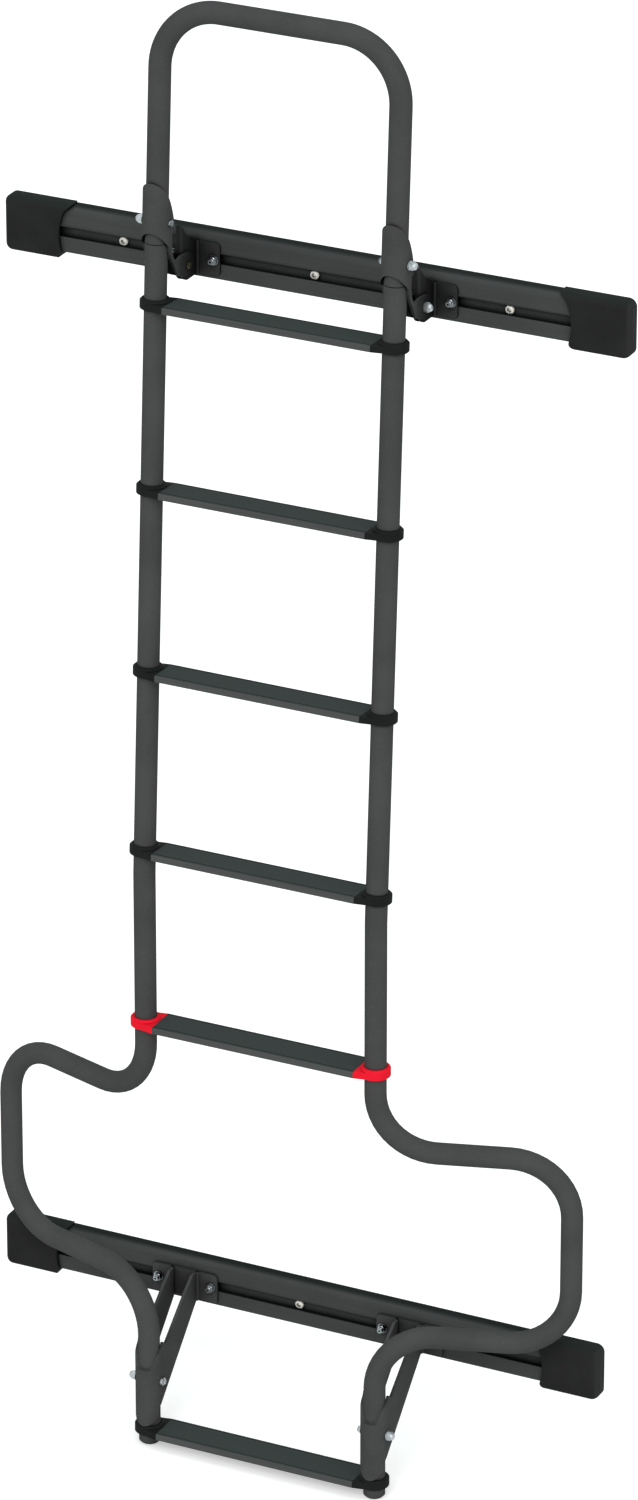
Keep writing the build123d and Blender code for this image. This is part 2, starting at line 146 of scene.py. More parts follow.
def powderCoat(name, look, shade=None):  # powder coat on steel, baked: even charcoal, dulled by orange peel
    finish, tree, place = newFinish(name)
    cloud = node(tree, "ShaderNodeTexNoise", {"Vector": place, "Scale": 1 / mm(look["cloud"]), "Detail": 3.0})
    peel = node(tree, "ShaderNodeTexNoise", {"Vector": place, "Scale": 1 / mm(look["peel"]), "Detail": 2.0})
    dots = node(tree, "ShaderNodeTexNoise", {"Vector": place, "Scale": 1 / mm(look["speckSize"]), "Detail": 1.0})
    body = laidOver(tree, cloud.outputs["Fac"], noiseSpan, linear(look["deep"]), linear(look["pale"]))
    colour = laidOver(tree, dots.outputs["Fac"], look["speckSpan"], body, linear(look["speck"]))
    # painted shade: faces that look sideways are darkened towards the bar
    if shade:
        facing = node(tree, "ShaderNodeSeparateXYZ", {0: node(tree, "ShaderNodeNewGeometry").outputs["Normal"]})
        sideways = node(tree, "ShaderNodeMath", {0: facing.outputs["X"]}, operation="ABSOLUTE")
        turned = node(tree, "ShaderNodeMapRange", {"Value": sideways.outputs[0], "From Min": shade["turn"][0],
                                                   "From Max": shade["turn"][1]})
        spot = node(tree, "ShaderNodeSeparateXYZ", {0: place})
        behind = node(tree, "ShaderNodeMapRange", {"Value": spot.outputs["Y"], "From Min": mm(shade["behind"][0]),
                                                   "From Max": mm(shade["behind"][1])})
        both = node(tree, "ShaderNodeMath", {0: turned.outputs[0], 1: behind.outputs[0]}, operation="MULTIPLY")
        colour = node(tree, "ShaderNodeMix", {0: both.outputs[0], 6: colour, 7: linear(shade["tone"])},
                      data_type="RGBA").outputs[2]
    sheen = node(tree, "ShaderNodeMapRange", {
        "Value": cloud.outputs["Fac"], "From Min": wideSpan[0], "From Max": wideSpan[1],
        "To Min": look["rough"][0], "To Max": look["rough"][1]})
    skin = node(tree, "ShaderNodeBump", {"Height": peel.outputs["Fac"], "Strength": look["bump"],
                                         "Distance": mm(look["peelHeight"])})
    coat = node(tree, "ShaderNodeBsdfPrincipled", {
        "Base Color": paintedOcclusionShade(tree, colour, look), "Roughness": sheen.outputs[0],
        "Normal": skin.outputs[0], "Specular IOR Level": look["specular"]})
    node(tree, "ShaderNodeOutputMaterial", {"Surface": coat.outputs[0]})
    return finish


# each extrusion's joint colour is painted occlusion shade
stepAnodise = {
    "deep": "#4b4c4c", "pale": "#525353", "paintedTopReflection": "#3c4241",  # painted dark reflection on every face that looks straight up
    "topReflectionTurn": (0.6, 0.92), "underTurn": (-0.05, -0.3),  # upward part of a face's normal
    "joint": "#0b0c0c", "shadeReach": 20, "shadeSpan": (0.3, 0.86),
    "lineGap": 2.2, "lineLength": 160, "cloud": 120,  # mm; die lines drawn coarser to show
    "lineHeight": 0.02, "bump": 0.4, "toneSpan": (0.75, 1.25), "rough": (0.62, 0.76), "specular": 0.02,
}
barAnodise = dict(stepAnodise, deep="#414242", pale="#484949", paintedTopReflection="#1d2221", rough=(0.55, 0.7))


def drawnAnodise(name, look):  # dark anodised extrusion: drawn lines along its length, a dull metal sheen
    finish, tree, place = newFinish(name)
    along = node(tree, "ShaderNodeMapping", {"Vector": place, "Scale": (
        1 / mm(look["lineLength"]), 1 / mm(look["lineGap"]), 1 / mm(look["lineGap"]))})
    lines = node(tree, "ShaderNodeTexNoise", {"Vector": along.outputs[0], "Scale": 1.0, "Detail": 4.0,
                                              "Roughness": 0.6})
    cloud = node(tree, "ShaderNodeTexNoise", {"Vector": place, "Scale": 1 / mm(look["cloud"]), "Detail": 2.0})
    both = node(tree, "ShaderNodeMath", {0: lines.outputs["Fac"], 1: cloud.outputs["Fac"]}, operation="ADD")
    body = laidOver(tree, both.outputs[0], look["toneSpan"], linear(look["deep"]), linear(look["pale"]))
    # painted dark reflection: faces that look up are darkened by their normal
    facing = node(tree, "ShaderNodeSeparateXYZ", {0: node(tree, "ShaderNodeNewGeometry").outputs["Normal"]})
    colour = laidOver(tree, facing.outputs["Z"], look["topReflectionTurn"], body, linear(look["paintedTopReflection"]))
    under = node(tree, "ShaderNodeMapRange", {"Value": facing.outputs["Z"], "From Min": look["underTurn"][0],
                                              "From Max": look["underTurn"][1]})
    sheen = node(tree, "ShaderNodeMapRange", {
        "Value": lines.outputs["Fac"], "From Min": wideSpan[0], "From Max": wideSpan[1],
        "To Min": look["rough"][0], "To Max": look["rough"][1]})
    skin = node(tree, "ShaderNodeBump", {"Height": lines.outputs["Fac"], "Strength": look["bump"],
                                         "Distance": mm(look["lineHeight"])})
    metal = node(tree, "ShaderNodeBsdfPrincipled", {
        "Base Color": paintedOcclusionShade(tree, colour, look, under.outputs[0]),  # no painted shade on an underside
        "Roughness": sheen.outputs[0], "Normal": skin.outputs[0], "Specular IOR Level": look["specular"]})
    node(tree, "ShaderNodeOutputMaterial", {"Surface": metal.outputs[0]})
    return finish


# each plastic's joint colour is painted occlusion shade
capPlastic = {
    "deep": "#242424", "pale": "#292929", "joint": "#0c0c0c", "shadeReach": 6, "shadeSpan": (0.3, 0.78),
    "grain": 1.8, "grainHeight": 0.06, "flow": 45,  # mm; the grain is really about 0.7 mm, drawn coarser to show
    "bump": 0.5, "grainSpan": (0.0, 0.8), "rough": (0.7, 0.8), "specular": 0.03,
}
collarPlastic = dict(capPlastic, deep="#1c1d1d", pale="#212222", grain=1.4, rough=(0.6, 0.72), grainHeight=0.03)
redPlastic = dict(collarPlastic, deep="#e6182c", pale="#f01d31", joint="#7d0c16", specular=0.04)
plugPlastic = dict(capPlastic, deep="#424242", pale="#484848", grain=1.2)
capPaintedLight = {"top": "#252928", "end": "#2f2f2f", "turn": (0.5, 0.72)}  # painted light: a cap's top shaded dark teal and its ends lit paler, past its round edge


def mouldedPlastic(name, look, edges=None):  # moulded nylon: a fine even grain from the mould, broad dull gloss
    finish, tree, place = newFinish(name)
    grain = node(tree, "ShaderNodeTexVoronoi", {"Vector": place, "Scale": 1 / mm(look["grain"])},
                 feature="SMOOTH_F1")
    flow = node(tree, "ShaderNodeTexNoise", {"Vector": place, "Scale": 1 / mm(look["flow"]), "Detail": 3.0})
    colour = laidOver(tree, flow.outputs["Fac"], noiseSpan, linear(look["deep"]), linear(look["pale"]))
    # painted light: tops darker as shade, ends paler as lit
    if edges:
        facing = node(tree, "ShaderNodeSeparateXYZ", {0: node(tree, "ShaderNodeNewGeometry").outputs["Normal"]})
        sideways = node(tree, "ShaderNodeMath", {0: facing.outputs["X"]}, operation="ABSOLUTE")
        colour = laidOver(tree, facing.outputs["Z"], edges["turn"], colour, linear(edges["top"]))
        colour = laidOver(tree, sideways.outputs[0], edges["turn"], colour, linear(edges["end"]))
    sheen = node(tree, "ShaderNodeMapRange", {
        "Value": grain.outputs["Distance"], "From Min": look["grainSpan"][0], "From Max": look["grainSpan"][1],
        "To Min": look["rough"][0], "To Max": look["rough"][1]})
    skin = node(tree, "ShaderNodeBump", {"Height": grain.outputs["Distance"], "Strength": look["bump"],
                                         "Distance": mm(look["grainHeight"])})
    plastic = node(tree, "ShaderNodeBsdfPrincipled", {
        "Base Color": paintedOcclusionShade(tree, colour, look), "Roughness": sheen.outputs[0],
        "Normal": skin.outputs[0], "Specular IOR Level": look["specular"]})
    node(tree, "ShaderNodeOutputMaterial", {"Surface": plastic.outputs[0]})
    return finish


# each plating's joint colour is painted occlusion shade
screwZinc = {
    "deep": "#dcdad4", "pale": "#f0eee9", "rough": (0.78, 0.86), "spangle": 3.0,  # mm
    "joint": "#0c0c0d", "shadeReach": 3, "shadeSpan": (0.45, 0.8),
}
boltZinc = dict(screwZinc, deep="#a3a7ab", pale="#c0c4c7", rough=(0.44, 0.56), shadeReach=5,
                shadeSpan=(0.3, 0.8))
# the nuts' long reach lays painted occlusion shade on those deep in gaps
nutZinc = dict(boltZinc, deep="#84898c", pale="#b4babd", rough=(0.3, 0.42), shadeReach=40,
               shadeSpan=(0.42, 0.72))
# yellow zinc, painted much darker than the other nuts, as the shade it lies in
shadedPivotZinc = dict(nutZinc, deep="#4e4b38", pale="#7d795c", rough=(0.4, 0.5))


def zincPlate(name, look):  # zinc plate on steel, passivated: cool, pale or yellow, with faint clouded spangles
    finish, tree, place = newFinish(name)
    spangle = node(tree, "ShaderNodeTexNoise", {"Vector": place, "Scale": 1 / mm(look["spangle"]), "Detail": 2.0})
    colour = laidOver(tree, spangle.outputs["Fac"], wideSpan, linear(look["deep"]), linear(look["pale"]))
    sheen = node(tree, "ShaderNodeMapRange", {
        "Value": spangle.outputs["Fac"], "From Min": wideSpan[0], "From Max": wideSpan[1],
        "To Min": look["rough"][0], "To Max": look["rough"][1]})
    metal = node(tree, "ShaderNodeBsdfPrincipled", {
        "Base Color": paintedOcclusionShade(tree, colour, look), "Roughness": sheen.outputs[0], "Metallic": 1.0})
    node(tree, "ShaderNodeOutputMaterial", {"Surface": metal.outputs[0]})
    return finish


platings = {
    "screws": zincPlate("matt_zinc_plate", screwZinc),
    "bolts": zincPlate("satin_zinc_plate", boltZinc),
    "nuts": zincPlate("dull_zinc_plate", nutZinc),
    "pivots": zincPlate("yellow_zinc_plate_painted_shade", shadedPivotZinc),
}
finishes = {
    "tube_coating": powderCoat("satin_powder_coat", tubeCoat),
    "bracket_coating": powderCoat("sheet_powder_coat", sheetCoat),
    "step_extrusion": drawnAnodise("step_anodised_aluminium", stepAnodise),
    "bar_extrusion": drawnAnodise("bar_anodised_aluminium", barAnodise),
    "end_cap_plastic": mouldedPlastic("grained_black_nylon", capPlastic, capPaintedLight),
    "collar_plastic": mouldedPlastic("satin_black_nylon", collarPlastic),
    "marked_collar_plastic": mouldedPlastic("red_nylon", redPlastic),
    "plug_plastic": mouldedPlastic("grey_nylon", plugPlastic),
}
clampShadedFinish = powderCoat("clamp_powder_coat_painted_shade", clampShadedCoat, tailShade)
finShadedFinish = powderCoat("fin_powder_coat_painted_shade", finShadedCoat, finShade)
# the upper clamps and fins take their coats with painted shade
ownFinishes = {"left_upper_clamp": clampShadedFinish, "right_upper_clamp": clampShadedFinish,
               "left_upper_bracket": finShadedFinish, "right_upper_bracket": finShadedFinish}
for subpart in frame["record"]["subparts"]:
    carried = frame["nodes"][subpart["node"]]
    for held in carried.material_slots:
        held.material = ownFinishes.get(subpart["node"], finishes[subpart["material_slot"]])
print("finishes made:", len(finishes) + len(set(ownFinishes.values())) + len(platings))


facets = {"wide": 40, "shank": 32, "thread": 28, "bore": 20, "hood": 48, "seam": 56, "bead": 12}  # sides
hood = {"top": 0.4, "foot": 1.45, "height": 1.5, "drop": -0.4}  # shares of a hexagon: radii, height, place
sunk = -0.49  # middle of a shank in shares of its length, so that its top lies just inside the head
fastenerSharp = 32  # degrees


def newTree(name, sizes):  # a tree of points in, fasteners out, with one named input for each size
    tree = bpy.data.node_groups.new(name, "GeometryNodeTree")
    tree.interface.new_socket("Geometry", in_out="INPUT", socket_type="NodeSocketGeometry")
    for size in sizes:
        tree.interface.new_socket(size, in_out="INPUT", socket_type="NodeSocketFloat")
    tree.interface.new_socket("Material", in_out="INPUT", socket_type="NodeSocketMaterial")
    tree.interface.new_socket("Geometry", in_out="OUTPUT", socket_type="NodeSocketGeometry")
    return tree, node(tree, "NodeGroupInput").outputs


def raised(tree, shape, height):  # a shape moved up its own axis
    lift = node(tree, "ShaderNodeCombineXYZ", {"Z": height})
    return node(tree, "GeometryNodeTransform", {"Geometry": shape, "Translation": lift.outputs[0]}).outputs[0]


def scaled(tree, shape, across, along):  # a shape of unit width and height brought to its real size
    size = node(tree, "ShaderNodeCombineXYZ", {"X": across, "Y": across, "Z": along})
    return node(tree, "GeometryNodeTransform", {"Geometry": shape, "Scale": size.outputs[0]}).outputs[0]


def rod(tree, sides, across, along, middle=0.5):  # its middle is this share of its length above the seat
    unit = node(tree, "GeometryNodeMeshCylinder", {"Vertices": sides, "Radius": 0.5, "Depth": 1.0})
    return scaled(tree, raised(tree, unit.outputs["Mesh"], middle), across, along)


def hexagon(tree, flats, height):  # a prism that stands on its seat, of unit width across its flats
    unit = node(tree, "GeometryNodeMeshCylinder", {"Vertices": 6, "Radius": 1 / math.sqrt(3), "Depth": 1.0})
    return scaled(tree, raised(tree, unit.outputs["Mesh"], 0.5), flats, height)


def turnedHexagon(tree, flats, height):  # a hexagon whose upper corners are turned off by a hood
    cone = node(tree, "GeometryNodeMeshCone", {"Vertices": facets["hood"], "Radius Top": hood["top"],
                                               "Radius Bottom": hood["foot"], "Depth": hood["height"]})
    crowned = node(tree, "GeometryNodeMeshBoolean", {"Mesh 2": [
        hexagon(tree, 1.0, 1.0), raised(tree, cone.outputs["Mesh"], hood["drop"])]},
        operation="INTERSECT", solver="EXACT")
    return scaled(tree, crowned.outputs["Mesh"], flats, height)


def domed(tree, segments, share, across, along):  # a ball whose half width is this share of its width
    ball = node(tree, "GeometryNodeMeshUVSphere", {"Segments": segments, "Rings": segments // 2, "Radius": 1.0})
    slim = node(tree, "GeometryNodeTransform", {"Geometry": ball.outputs["Mesh"], "Scale": (share, share, 1.0)})
    return scaled(tree, slim.outputs[0], across, along)


def endTree(tree, given, shapes, seed):  # sets the shapes on the points, each turned by chance about its own axis
    whole = node(tree, "GeometryNodeJoinGeometry", {"Geometry": shapes})
    axis = node(tree, "GeometryNodeInputNamedAttribute", {"Name": "axis"}, data_type="FLOAT_VECTOR")
    aim = node(tree, "FunctionNodeAlignRotationToVector", {"Vector": axis.outputs["Attribute"]}, axis="Z")
    chance = node(tree, "FunctionNodeRandomValue", {"Min": 0.0, "Max": math.pi / 3, "Seed": seed})
    roll = node(tree, "FunctionNodeAxisAngleToRotation", {"Angle": chance.outputs[1]})
    face = node(tree, "FunctionNodeRotateRotation", {"Rotation": aim.outputs[0], "Rotate By": roll.outputs[0]},
                rotation_space="LOCAL")
    spread = node(tree, "GeometryNodeInstanceOnPoints", {
        "Points": given["Geometry"], "Instance": whole.outputs[0], "Rotation": face.outputs[0]})
    plain = node(tree, "GeometryNodeRealizeInstances", {"Geometry": spread.outputs[0]})
    plated = node(tree, "GeometryNodeSetMaterial", {"Geometry": plain.outputs[0], "Material": given["Material"]})
    node(tree, "NodeGroupOutput", {"Geometry": plated.outputs[0]})


def fasten(name, tree, sizes, seats, finish):  # runs a tree on its seats, each a place and the way it looks
    points = bpy.data.meshes.new(name + "_seats")
    points.from_pydata([place for place, axis in seats], [], [])
    axes = points.attributes.new("axis", "FLOAT_VECTOR", "POINT")
    for number, (place, axis) in enumerate(seats):
        axes.data[number].vector = axis
    made = placed(name, points)
    maker = made.modifiers.new("fasteners", "NODES")
    maker.node_group = tree
    for socket in tree.interface.items_tree:
        if socket.in_out == "INPUT" and socket.name in sizes:
            maker[socket.identifier] = mm(sizes[socket.name])
        elif socket.in_out == "INPUT" and socket.name == "Material":
            maker[socket.identifier] = finish
    settled(made, maker, fastenerSharp).name = name
    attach(made, "root")
    print(name, "set:", len(seats))
    return made


railX = 171.2  # mm; rail axis from the middle
jointBolts = {  # mm; each joint's bolt on the right side, and how far out its outer and inner seats are
    "hoop": {"outer": 190.4, "inner": 152.0, "y": -125.09, "z": 78.8},
    "pivot": {"outer": 180.4, "inner": 162.0, "y": -57.5, "z": -3.0},
    "sleeve": {"outer": 190.4, "inner": 152.0, "y": -177.89, "z": -1593.9},
}
barBolts = {  # mm; each bar's bolts, with half the gap between a bracket's two nuts
    "upper": {"half": 29.0, "nutY": -21.0, "screwY": -9.5, "z": -5.6},
    "lower": {"half": 40.0, "nutY": -69.89, "screwY": -57.39, "z": -1495.6},
}

domedBolts = {  # mm; hexagon bolts with a domed tip, on the outer side of each joint
    "Flats": 11.6, "Hex Height": 5.4, "Dome Width": 10.6, "Dome Height": 5.0,
    "Washer Width": 13.6, "Washer Height": 0.8, "Shank Width": 8.0, "Shank Length": 16.0,
}
domeShare = 0.5  # half of its width, so the tip is fully round
domedBoltSeed = 4


def makeDomedBolts():
    tree, given = newTree("domedBolts", domedBolts)
    washer = rod(tree, facets["wide"], given["Washer Width"], given["Washer Height"])
    head = turnedHexagon(tree, given["Flats"], given["Hex Height"])
    dome = domed(tree, facets["shank"], domeShare, given["Dome Width"], given["Dome Height"])
    tip = node(tree, "GeometryNodeJoinGeometry", {"Geometry": [head, raised(tree, dome, given["Hex Height"])]})
    shank = rod(tree, facets["shank"], given["Shank Width"], given["Shank Length"], sunk)
    endTree(tree, given, [washer, raised(tree, tip.outputs[0], given["Washer Height"]), shank], domedBoltSeed)
    seats = []
    for side in (-1, 1):
        for bolt in jointBolts.values():
            seats.append(((side * mm(bolt["outer"]), mm(bolt["y"]), mm(bolt["z"])), (side, 0, 0)))
    fasten("domed_bolts", tree, domedBolts, seats, platings["bolts"])


sleeveNuts = {  # mm; nuts on the inner side of the lower brackets
    "Flats": 10.0, "Nut Height": 2.8, "Washer Width": 11.4, "Washer Height": 0.6, "Thread Width": 7.0,
    "Thread End": 1.2, "Pitch": 1.25, "Stem Length": 20.0, "Hole Width": 3.4, "Rim Height": 0.6,
}
boltEnds = dict(sleeveNuts, **{"Flats": 8.6, "Nut Height": 2.0, "Washer Width": 9.6, "Washer Height": 0.5,
                               "Thread Width": 6.0})  # mm; smaller ones on the upper joints
flangeNuts = {  # mm; nuts on the slot bolts that hold the brackets to the bars
    "Flats": 10.0, "Nut Height": 5.0, "Washer Width": 14.0, "Washer Height": 1.4, "Thread Width": 6.6,
    "Thread End": 3.0, "Pitch": 1.0, "Stem Length": 8.0, "Hole Width": 3.4, "Rim Height": 1.6,
}
threadRoot = 0.43  # radius between two ridges, as a share of the thread's width
drillRun = 4.0  # length of the end's drill in rims, so that it passes both faces
nutSeed = 9


def makeNutTree():
    tree, given = newTree("nutAndThread", sleeveNuts)
    washer = rod(tree, facets["wide"], given["Washer Width"], given["Washer Height"])
    nut = turnedHexagon(tree, given["Flats"], given["Nut Height"])
    rise = node(tree, "GeometryNodeMeshCone", {"Vertices": facets["thread"], "Radius Top": 0.5,
                                               "Radius Bottom": threadRoot, "Depth": 0.5})
    fall = node(tree, "GeometryNodeMeshCone", {"Vertices": facets["thread"], "Radius Top": threadRoot,
                                               "Radius Bottom": 0.5, "Depth": 0.5})
    ridge = node(tree, "GeometryNodeJoinGeometry", {"Geometry": [
        rise.outputs["Mesh"], raised(tree, fall.outputs["Mesh"], 0.5)]})
    share = node(tree, "ShaderNodeMath", {0: given["Thread End"], 1: given["Pitch"]}, operation="DIVIDE")
    turns = node(tree, "ShaderNodeMath", {0: share.outputs[0]}, operation="CEIL")
    climb = node(tree, "ShaderNodeCombineXYZ", {"Z": given["Pitch"]})
    line = node(tree, "GeometryNodeMeshLine", {"Count": turns.outputs[0], "Offset": climb.outputs[0]})
    turn = scaled(tree, ridge.outputs[0], given["Thread Width"], given["Pitch"])
    thread = node(tree, "GeometryNodeInstanceOnPoints", {"Points": line.outputs[0], "Instance": turn})
    drill = rod(tree, facets["bore"], 1.0, drillRun, 0.0)
    rim = node(tree, "GeometryNodeMeshBoolean", {
        "Mesh 1": rod(tree, facets["thread"], given["Thread Width"], given["Rim Height"]),
        "Mesh 2": scaled(tree, drill, given["Hole Width"], given["Rim Height"])},
        operation="DIFFERENCE", solver="EXACT")
    tip = node(tree, "GeometryNodeJoinGeometry", {"Geometry": [
        thread.outputs[0], raised(tree, rim.outputs["Mesh"], given["Thread End"])]})
    above = node(tree, "GeometryNodeJoinGeometry", {"Geometry": [
        nut, raised(tree, tip.outputs[0], given["Nut Height"])]})
    core = rod(tree, facets["thread"], 2 * threadRoot, 1.0, sunk)
    stem = scaled(tree, core, given["Thread Width"], given["Stem Length"])
    endTree(tree, given, [washer, raised(tree, above.outputs[0], given["Washer Height"]), stem], nutSeed)
    return tree


def makeNuts():
    tree = makeNutTree()
    for name, joint, sizes, plating in (("bolt_ends", "hoop", boltEnds, "nuts"),
                                        ("pivot_ends", "pivot", boltEnds, "pivots"),
                                        ("sleeve_nuts", "sleeve", sleeveNuts, "bolts")):
        bolt = jointBolts[joint]
        seats = [((side * mm(bolt["inner"]), mm(bolt["y"]), mm(bolt["z"])), (-side, 0, 0)) for side in (-1, 1)]
        fasten(name, tree, sizes, seats, platings[plating])
    seats = []
    for rail in (-railX, railX):
        for bolt in barBolts.values():
            seats += [((mm(rail + side * bolt["half"]), mm(bolt["nutY"]), mm(bolt["z"])), (0, -1, 0))
                      for side in (-1, 1)]
    fasten("flange_nuts", tree, flangeNuts, seats, platings["nuts"])


barScrews = {  # mm; button heads that sit in the bars' slots
    "Head Width": 11.8, "Head Height": 6.2, "Socket Flats": 6.4, "Socket Floor": 2.0,
    "Shank Width": 6.4, "Shank Length": 9.4,
}
screwsAcross = (-279.0, 0.0, 279.0)  # mm along a bar
buttonShare = 0.62  # the head is cut from a ball with this half width, in shares of the head's width
screwSeed = 2


def makeBarScrews():
    tree, given = newTree("buttonScrews", barScrews)
    head = node(tree, "GeometryNodeMeshBoolean", {"Mesh 2": [
        domed(tree, facets["wide"], buttonShare, given["Head Width"], given["Head Height"]),
        rod(tree, facets["wide"], given["Head Width"], given["Head Width"])]},
        operation="INTERSECT", solver="EXACT")
    socket = raised(tree, hexagon(tree, given["Socket Flats"], given["Head Width"]), given["Socket Floor"])
    cut = node(tree, "GeometryNodeMeshBoolean", {"Mesh 1": head.outputs["Mesh"], "Mesh 2": socket},
               operation="DIFFERENCE", solver="EXACT")
    shank = rod(tree, facets["thread"], given["Shank Width"], given["Shank Length"], sunk)
    endTree(tree, given, [cut.outputs["Mesh"], shank], screwSeed)
    seats = []
    for across in screwsAcross:
        seats += [((mm(across), mm(bolt["screwY"]), mm(bolt["z"])), (0, -1, 0)) for bolt in barBolts.values()]
    fasten("bar_screws", tree, barScrews, seats, platings["screws"])


hoopSeams = {"Ring Radius": 14.6, "Bead Radius": 0.58}  # mm; a slim black bead on the hoop and rail joint, standing for the joint's real gap and its painted shade
seamPlace = {"y": -126.73, "z": 50.6, "axis": (0, 0.0581, 0.9983), "height": 1.72}  # mm; height in bead widths
seamSeed = 0


def makeHoopSeams():
    tree, given = newTree("hoopSeams", hoopSeams)
    ring = node(tree, "GeometryNodeCurvePrimitiveCircle", {"Resolution": facets["seam"],
                                                           "Radius": given["Ring Radius"]})
    bead = node(tree, "GeometryNodeCurvePrimitiveCircle", {"Resolution": facets["bead"],
                                                           "Radius": given["Bead Radius"]})
    swept = node(tree, "GeometryNodeCurveToMesh", {"Curve": ring.outputs["Curve"],
                                                   "Profile Curve": bead.outputs["Curve"]})
    endTree(tree, given, [scaled(tree, swept.outputs["Mesh"], 1.0, seamPlace["height"])], seamSeed)
    seats = [((side * mm(railX), mm(seamPlace["y"]), mm(seamPlace["z"])), seamPlace["axis"]) for side in (-1, 1)]
    seams = fasten("hoop_seams", tree, hoopSeams, seats, finishes["collar_plastic"])


makeDomedBolts()
makeNuts()
makeBarScrews()
makeHoopSeams()


basePlate = {"inner": 15.2, "bend": 7.0, "sheet": 4.0, "height": 37.7, "play": 0.05,  # mm
             "steps": 8}  # along a bend


def prism(name, outline, low, high, finish):  # a closed upright prism on an outline of (x, y) points
    count = len(outline)
    shape = bpy.data.meshes.new(name)
    shape.from_pydata([(x, y, z) for z in (low, high) for x, y in outline], [],
                      [tuple(reversed(range(count))), tuple(range(count, 2 * count))]
                      + [(i, (i + 1) % count, count + (i + 1) % count, count + i) for i in range(count)])
    made = placed(name, shape)
    shape.materials.append(finish)
    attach(made, "root")
    return made


def makeBasePlates():  # the sheet on the bar between a lower bracket's two arms, fitted to the arms' bends
    inner, bend, sheet, play = (mm(basePlate[size]) for size in ("inner", "bend", "sheet", "play"))
    for side in ("left", "right"):
        low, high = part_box(side + "_lower_bracket")
        middle = (low.x + high.x) / 2
        edge = []
        for step in range(basePlate["steps"] + 1):
            depth = sheet * step / basePlate["steps"]
            half = inner + bend - math.sqrt(bend ** 2 - (bend - depth) ** 2) - play
            edge.append((half, high.y - depth - play))
        outline = [(middle + x, y) for x, y in edge] + [(middle - x, y) for x, y in reversed(edge)]
        plate = prism(side + "_base_plate", list(reversed(outline)), high.z - mm(basePlate["height"]), high.z,
                      finishes["bracket_coating"])


makeBasePlates()
print("base plates set")


capLip = {
    "roll": 5.0, "topShare": 0.3, "segments": 5,  # mm; the thin top wall takes a smaller roll
    "longer": 2.5, "endWall": 12.0,  # mm; the outer end stands out a little more than the CAD's
    "merge": 0.002, "flat": 0.5, "corner": 40,  # mm, and degrees: one flat face, and the lip's sharp corner
    "mouthTurn": 0.35, "outerTurn": 0.5,  # sideways part of the normals: least in the mouth, most outside
    "burst": 100, "retreat": 1.5,  # degrees and mm; where the room's corner comes through the round outside
    "sharp": 35,  # degrees
}


def closeCorner(work, end, middle):  # parts the two walls where they meet, and closes each one
    burst = [edge for edge in work.edges if abs(edge.verts[0].co.x - end) < mm(capLip["endWall"])
             and edge.calc_face_angle(0) > math.radians(capLip["burst"])]
    bmesh.ops.split_edges(work, edges=burst)
    rims = [edge for edge in work.edges if edge.is_boundary]
    inside = {corner for edge in rims for corner in edge.verts
              if edge.link_faces[0].normal.dot(corner.co - middle) < 0}
    tip = [max((corner.co[axis] for corner in inside), key=lambda value: abs(value - middle[axis]))
           for axis in range(3)]
    for corner in inside:
        for axis in range(3):
            away = corner.co[axis] - tip[axis]
            if abs(away) > mm(capLip["merge"]):
                corner.co[axis] += math.copysign(mm(capLip["retreat"]), away)
    bmesh.ops.holes_fill(work, edges=rims, sides=0)
    bmesh.ops.recalc_face_normals(work, faces=work.faces)


def weighLip(work, name, inward):  # how far each outer edge of the mouth is rolled over
    weight = work.edges.layers.float.new("bevel_weight_edge")
    barLow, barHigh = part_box(name.split("_")[1] + "_bar")
    barMiddle = (barLow + barHigh) / 2
    for edge in work.edges:
        if len(edge.link_faces) == 2 and edge.calc_face_angle() > math.radians(capLip["corner"]):
            walls = sorted(edge.link_faces, key=lambda face: face.normal.x * inward)
            outer, mouth = walls[0].normal, walls[1].normal
            middle = (edge.verts[0].co + edge.verts[1].co) / 2 - barMiddle
            middle.x = 0
            atMouth = mouth.x * inward > capLip["mouthTurn"] and abs(outer.x) < capLip["outerTurn"]
            if atMouth and outer.dot(middle) > 0 and edge.is_convex:
                edge[weight] = 1 - (1 - capLip["topShare"]) * max(0, outer.z)


def makeCap(name):  # the CAD cap with a closed corner, a longer outer end and its mouth's edge rolled over
    low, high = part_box(name)
    inward = -1 if low.x > 0 else 1  # which way the mouth looks
    end = high.x if inward < 0 else low.x
    shape = frame["nodes"][name].data.copy()
    work = bmesh.new()
    work.from_mesh(shape)
    bmesh.ops.remove_doubles(work, verts=work.verts, dist=mm(capLip["merge"]))
    bmesh.ops.dissolve_limit(work, angle_limit=math.radians(capLip["flat"]), verts=work.verts, edges=work.edges)
    closeCorner(work, end, (low + high) / 2)
    for corner in work.verts:
        if abs(corner.co.x - end) < mm(capLip["endWall"]):
            corner.co.x -= inward * mm(capLip["longer"])
    weighLip(work, name, inward)
    work.to_mesh(shape)
    work.free()
    cap = placed("rolled_" + name, shape)
    roll = cap.modifiers.new("lip", "BEVEL")
    roll.limit_method, roll.width, roll.segments = "WEIGHT", mm(capLip["roll"]), capLip["segments"]
    result = settled(cap, roll, capLip["sharp"])
    result.materials.clear()
    result.materials.append(finishes["end_cap_plastic"])
    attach(cap, "root")
    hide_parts(name)


for capName in ("left_upper_end_cap", "right_upper_end_cap", "left_lower_end_cap", "right_lower_end_cap"):
    makeCap(capName)
print("cap lips rolled")


